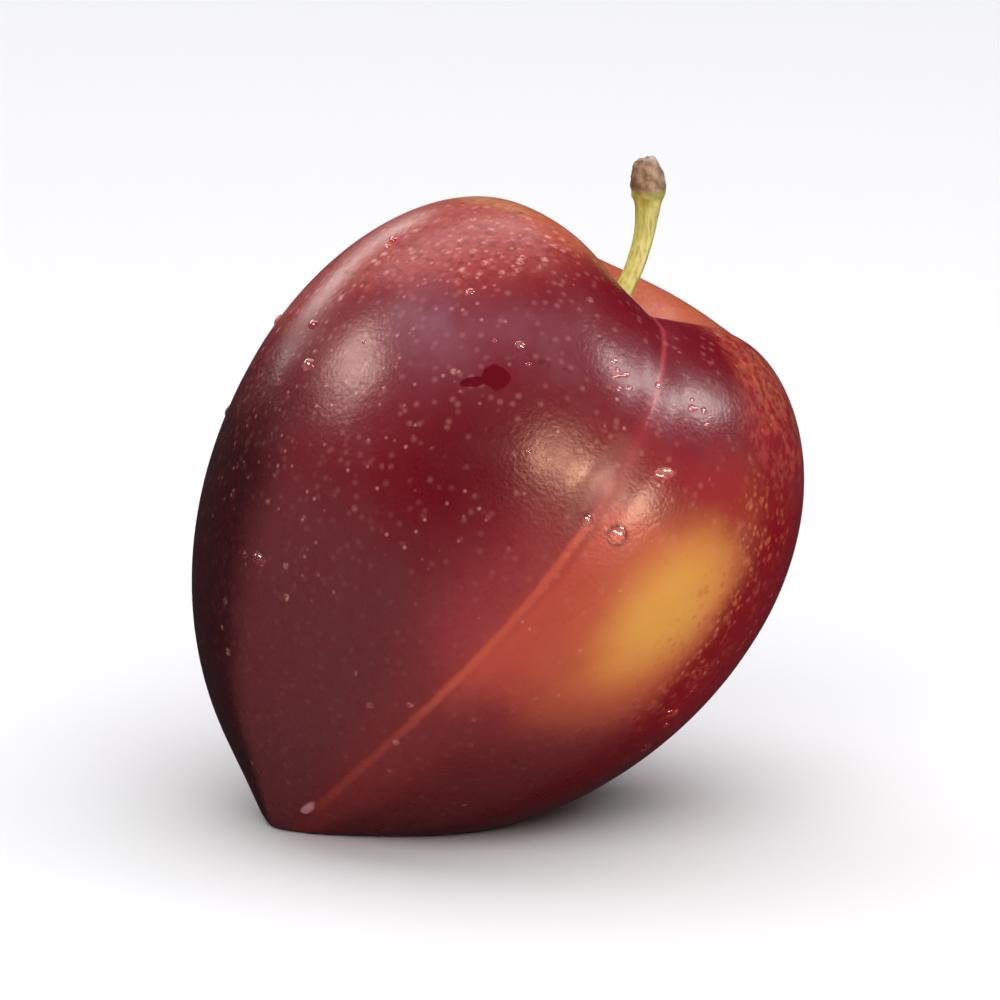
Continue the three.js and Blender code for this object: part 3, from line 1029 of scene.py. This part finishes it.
bump = f.node("ShaderNodeBump", None, {"Height": relief, "Strength": 1.0, "Distance": 1.0})
f.feed(f.shader.inputs["Base Color"], colour)
f.feed(f.shader.inputs["Roughness"], to_knob * 0.25 + 0.5)
f.feed(f.shader.inputs["Normal"], bump)
print("stalk finish:", len(f.tree.nodes), "nodes")

# %% [markdown]
# ## Water and the floor
#
# Water is a clear shader that lets light through and bends it as water does. A coat with a higher index
# makes its highlights as bright as they look on a small drop. The floor is a plain pale surface, just rough
# enough to hold a soft shadow and no mirror image. It is kept out of reflections: a bright floor mirrored
# in the low flanks would wash out their deep colour.

# %% Water and floor
FLOOR_SIZE = 8  # metres, so that its edge is out of sight

water = Finish("water")
water.set(
    base_color=(1, 1, 1, 1),
    roughness=0.02,
    ior=1.33,
    transmission_weight=1.0,
    coat_weight=1.0,
    coat_roughness=0.02,
    coat_ior=1.6,
)
floor_finish = Finish("floor")
floor_finish.set(base_color=paint(222, 222, 223), roughness=0.6, specular_ior_level=0.0)

bpy.ops.object.select_all(action="DESELECT")
bpy.ops.mesh.primitive_plane_add(size=FLOOR_SIZE, location=(0, 0, 0))
floor = bpy.context.object
floor.name = "floor"
floor.data.materials.append(floor_finish.material)
floor.visible_glossy = False
print("materials:", [material.name for material in bpy.data.materials])

# %% [markdown]
# ## Every piece in its place
#
# The skin stands for the solid fruit and the stem for the solid stalk. Both ride on the one body, and so do
# the drops.

# %% Hide the solids and put every piece on the body
dressed = [  # the piece, the solid that it stands for, the name of its slot, and its finish
    (skin, "fruit", "plum_skin", skin_finish),
    (stalk, "stalk", "stalk", stalk_finish),
]
for piece, node, slot_name, finish in dressed:
    piece.data.materials.clear()
    piece.data.materials.append(finish.material)
    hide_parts(node)
    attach(piece, "root")
for bead in drops:
    bead.data.materials.clear()
    bead.data.materials.append(water.material)
    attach(bead, "root")
print(len(dressed) + len(drops), "pieces ride on the plum's one body")

# %% [markdown]
# ## Light
#
# Gloss is the light that it shows. Two wide softboxes, overhead and in front, fill the scene: they light
# the skin and the floor and cast the soft shadow, but they are kept out of the gloss, or they would whiten
# the whole top. Eight smaller lamps do the opposite and only show in the gloss. One lays a broad sheen on
# the shoulders from behind, three warm ones make the glows on the front, and the others draw the sides.
# Each of them stands where the skin, as a mirror, would send its light to the camera.

# %% Lamps


def lamp(name, side, rise, distance, width, height, power, colour=(1, 1, 1), fills=False, shines=True):
    """A softbox that looks at the plum: side is its angle from the camera's side, positive to the right.
    One that fills lights what it faces, and one that shines shows in the gloss."""
    light = bpy.data.lights.new(name, "AREA")
    light.shape, light.size, light.size_y = "RECTANGLE", width, height
    light.energy, light.color = power, colour
    holder = bpy.data.objects.new(name, light)
    bpy.context.scene.collection.objects.link(holder)
    side, rise = math.radians(side), math.radians(rise)
    to_lamp = Vector((math.sin(side) * math.cos(rise), -math.cos(side) * math.cos(rise), math.sin(rise)))
    holder.location = AIM + to_lamp * distance
    holder.rotation_euler = to_lamp.to_track_quat("Z", "Y").to_euler()
    holder.visible_camera, holder.visible_glossy = False, shines
    holder.visible_diffuse = holder.visible_transmission = fills


COOL, WARM, AMBER = (0.97, 0.98, 1), (1, 0.97, 0.95), (1, 0.64, 0.42)

# name, degrees to the side, degrees up, metres away, width and height in metres, watts
lamp("overhead", 150, 78, 0.8, 2.0, 0.9, 14, COOL, fills=True, shines=False)
lamp("front_fill", -5, 42, 1.0, 1.2, 0.8, 9, WARM, fills=True, shines=False)
lamp("sheen", -168, 52, 0.8, 0.7, 0.4, 1.9, COOL)
lamp("front_high", 18, 27, 0.7, 0.14, 0.12, 3, AMBER)
lamp("front_mid", 30, 18, 0.7, 0.13, 0.09, 3.2, AMBER)
lamp("right_low", 48, 5, 0.7, 0.2, 0.15, 5.2, (1, 0.66, 0.46))
lamp("right_side", 103, 30, 0.7, 0.2, 0.16, 1.6, (1, 1, 0.96))
lamp("right_high", 86, 44, 0.7, 0.16, 0.2, 2.2, (1, 0.98, 0.94))
lamp("left", -95, 40, 0.7, 0.3, 0.15, 2.9, (1, 0.8, 0.66))
lamp("back_left", -150, 19, 0.7, 0.45, 0.1, 0.62, (1, 0.98, 0.92))
print(len(bpy.data.lights), "lamps")

# %% [markdown]
# The room itself gives a faint even light, so that no shadow is black. The Standard view shows the paints
# as they were mixed: a filmic one would grey the crimson.

# %% The room
ROOM = (0.032, 0.032, 0.036, 1)

world = bpy.data.worlds.new("studio")
world.use_nodes = True
world.node_tree.nodes["Background"].inputs["Color"].default_value = ROOM
bpy.context.scene.world = world
bpy.context.scene.view_settings.view_transform = "Standard"
print("view:", bpy.context.scene.view_settings.view_transform)
